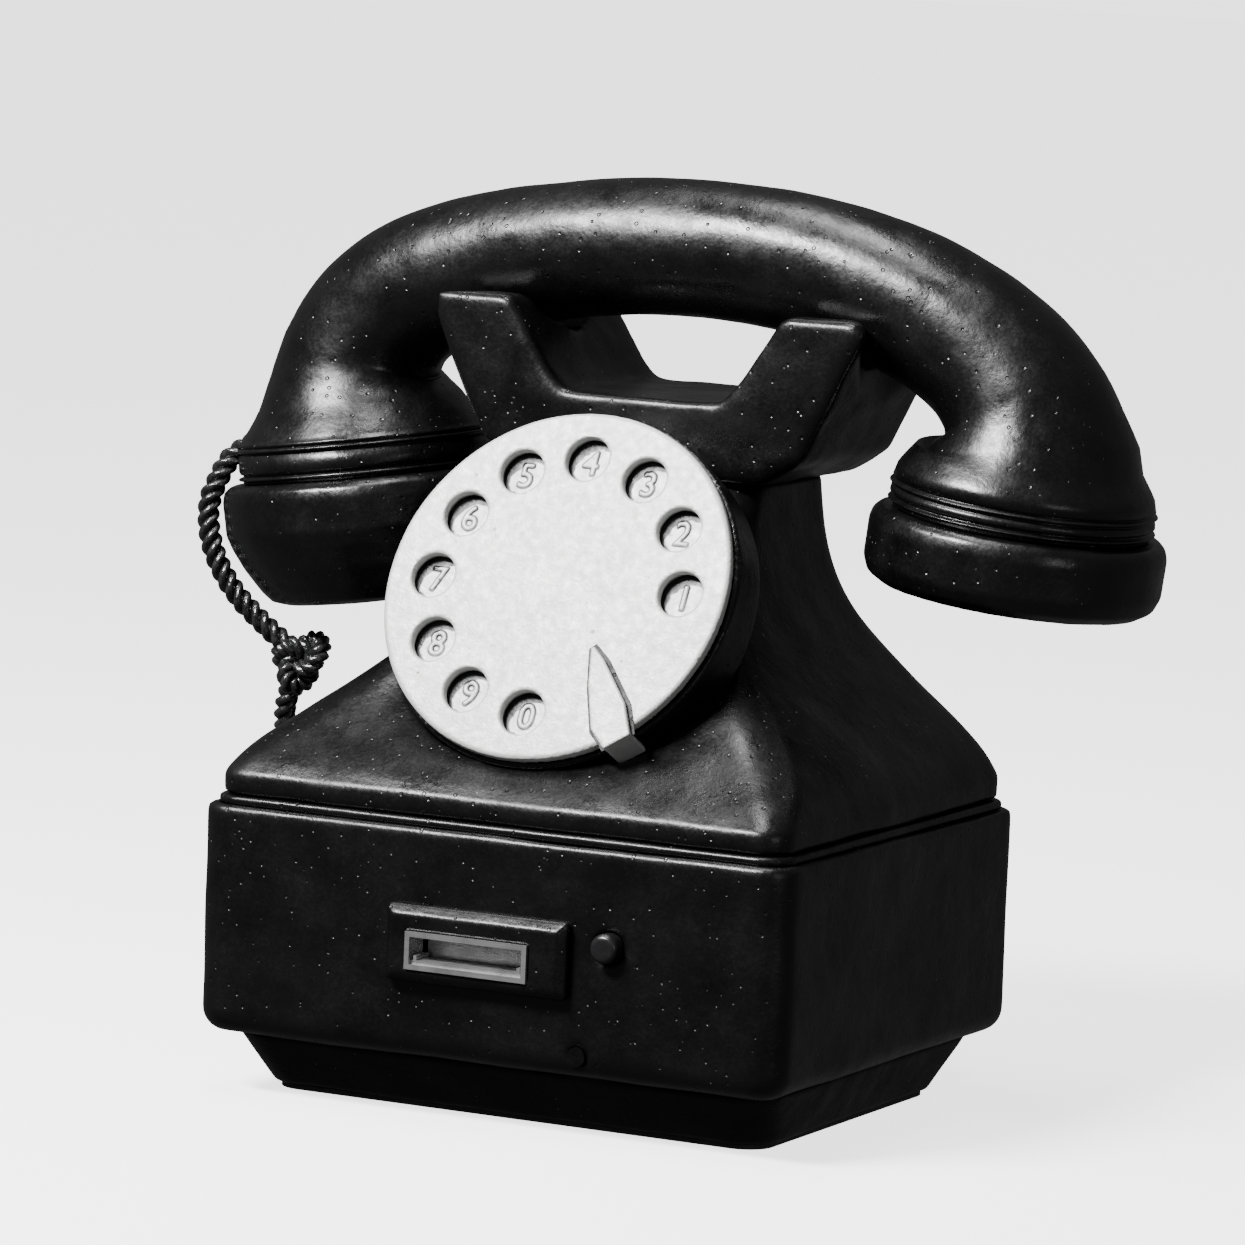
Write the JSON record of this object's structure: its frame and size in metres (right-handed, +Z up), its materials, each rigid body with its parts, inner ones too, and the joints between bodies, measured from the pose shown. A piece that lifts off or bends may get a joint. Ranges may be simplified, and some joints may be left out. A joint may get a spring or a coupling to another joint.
{
  "type": "desk payphone",
  "caption": "Black desk payphone with a rotary dial, a horned cradle, a bell-ended handset on a cord, a coin slot with a deposit button and a rear cash drawer.",
  "frame": {"origin": "centre of the footprint, on the surface that the phone stands on", "axes": "+Z up, the dial faces -Y, +X along the handset towards the earpiece"},
  "size_m": [0.2383, 0.2154, 0.2085],
  "materials": {
    "black_enamel": "satin",
    "black_bakelite": "satin",
    "black_rubber": "matte",
    "silver_paint": "satin",
    "bright_trim": "polished",
    "steel": "brushed",
    "brass": "satin",
    "bell_brass": "polished",
    "phenolic": "matte",
    "coil_wrap": "matte",
    "copper_winding": "satin",
    "cord_braid": "woven"
  },
  "bodies": {
    "root": {"base_pad": "black_rubber", "base_plate": "steel", "base_plinth": "black_enamel", "base_screws": "steel", "lower_housing": "black_enamel", "joint_bead": "black_enamel", "upper_housing": "black_enamel", "front_screw": "black_enamel", "deck_plate": "steel", "deck_pillars": "brass", "cradle": "black_enamel", "cradle_screws": "steel", "hook_bracket": "steel", "hook_contacts": "phenolic", "dial_cup": "black_enamel", "dial_frame": "brass", "dial_bridge": "brass", "number_plate": "silver_paint", "finger_stop": "silver_paint", "governor_cup": "brass", "mainspring": "steel", "pulse_contacts": "phenolic", "coin_plate": "black_enamel", "coin_bezel": "bright_trim", "coin_chute": "steel", "drawer_runners": "steel", "ringer_frame": "steel", "ringer_coils": "copper_winding", "gong_left": "bell_brass", "gong_right": "bell_brass", "gong_posts": "brass", "induction_coil": "coil_wrap", "capacitor": "steel", "terminal_block": "phenolic", "cord_upper": "cord_braid", "cord_lower": "cord_braid", "cord_tail": "cord_braid", "cord_knot": "cord_braid", "cord_coil": "cord_braid", "line_cord_grommet": "black_rubber", "handset_cord_gland": "black_rubber"},
    "handset": {"handset_grip": "black_bakelite", "mouth_cap": "black_bakelite", "ear_cap": "black_bakelite", "handset_capsules": "steel", "handset_cord_boot": "black_rubber"},
    "hook": {"hook_bar": "brass"},
    "lever": {"hook_lever": "brass"},
    "dial": {"finger_wheel": "silver_paint", "main_spindle": "steel", "main_gear": "brass"},
    "pulse_train": {"pulse_gear": "brass"},
    "governor": {"governor_rotor": "brass"},
    "hammer": {"clapper": "brass"},
    "flap": {"coin_flap": "steel"},
    "gate": {"coin_gate": "steel"},
    "button": {"deposit_button": "black_bakelite", "button_spring": "steel"},
    "drawer": {"cash_drawer": "black_enamel"},
    "lock": {"drawer_lock": "bright_trim"}
  },
  "joints": [
    {"name": "handset_lift", "type": "slide", "parent": "root", "child": "handset", "axis": [0, 0, 1], "range_m": [0, 0.08], "deforming": ["cord_upper"]},
    {"name": "hook_travel", "type": "slide", "parent": "root", "child": "hook", "axis": [0, 0, 1], "range_m": [0, 0.005]},
    {"name": "hook_lever_turn", "type": "hinge", "parent": "root", "child": "lever", "pos_m": [0, 0.014, 0.108], "axis": [1, 0, 0], "range_deg": [0, 16.1]},
    {"name": "dial_turn", "type": "hinge", "parent": "root", "child": "dial", "pos_m": [0, -0.0347, 0.1203], "axis": [0, 0.8829, -0.4695], "range_deg": [0, 315], "stiffness_Nm_per_rad": 0.01},
    {"name": "pulse_turn", "type": "hinge", "parent": "root", "child": "pulse_train", "pos_m": [-0.02602, -0.01705, 0.12793], "axis": [0, 0.8829, -0.4695], "range_deg": [-1261, 0]},
    {"name": "governor_turn", "type": "hinge", "parent": "root", "child": "governor", "pos_m": [-0.01559, -0.01723, 0.1212], "axis": [0, 0.8829, -0.4695], "range_deg": [0, 3781]},
    {"name": "clapper_swing", "type": "hinge", "parent": "root", "child": "hammer", "pos_m": [0, -0.014, 0.0545], "axis": [0, 0, 1], "range_deg": [-6.5, 6.5]},
    {"name": "coin_flap_turn", "type": "hinge", "parent": "root", "child": "flap", "pos_m": [-0.002, -0.0593, 0.0422], "axis": [1, 0, 0], "range_deg": [0, 70]},
    {"name": "deposit_button_press", "type": "slide", "parent": "root", "child": "button", "axis": [0, 1, 0], "range_m": [0, 0.003], "stiffness_N_per_m": 300, "deforming": ["button_spring"]},
    {"name": "coin_gate_turn", "type": "hinge", "parent": "root", "child": "gate", "pos_m": [-0.002, -0.0405, 0.034], "axis": [-1, 0, 0], "range_deg": [0, 17.3]},
    {"name": "cash_drawer_slide", "type": "slide", "parent": "root", "child": "drawer", "axis": [0, 1, 0], "range_m": [0, 0.075]},
    {"name": "drawer_lock_turn", "type": "hinge", "parent": "drawer", "child": "lock", "pos_m": [0, 0.0615, 0.0356], "axis": [0, -1, 0], "range_deg": [0, 90]}
  ],
  "couplings": [
    {"joint": "hook_travel", "follows": "handset_lift", "ratio": 0.0625},
    {"joint": "hook_lever_turn", "follows": "handset_lift", "rad_per_m": 3.5},
    {"joint": "pulse_turn", "follows": "dial_turn", "ratio": -4},
    {"joint": "governor_turn", "follows": "dial_turn", "ratio": 12},
    {"joint": "coin_gate_turn", "follows": "deposit_button_press", "rad_per_m": 100}
  ]
}
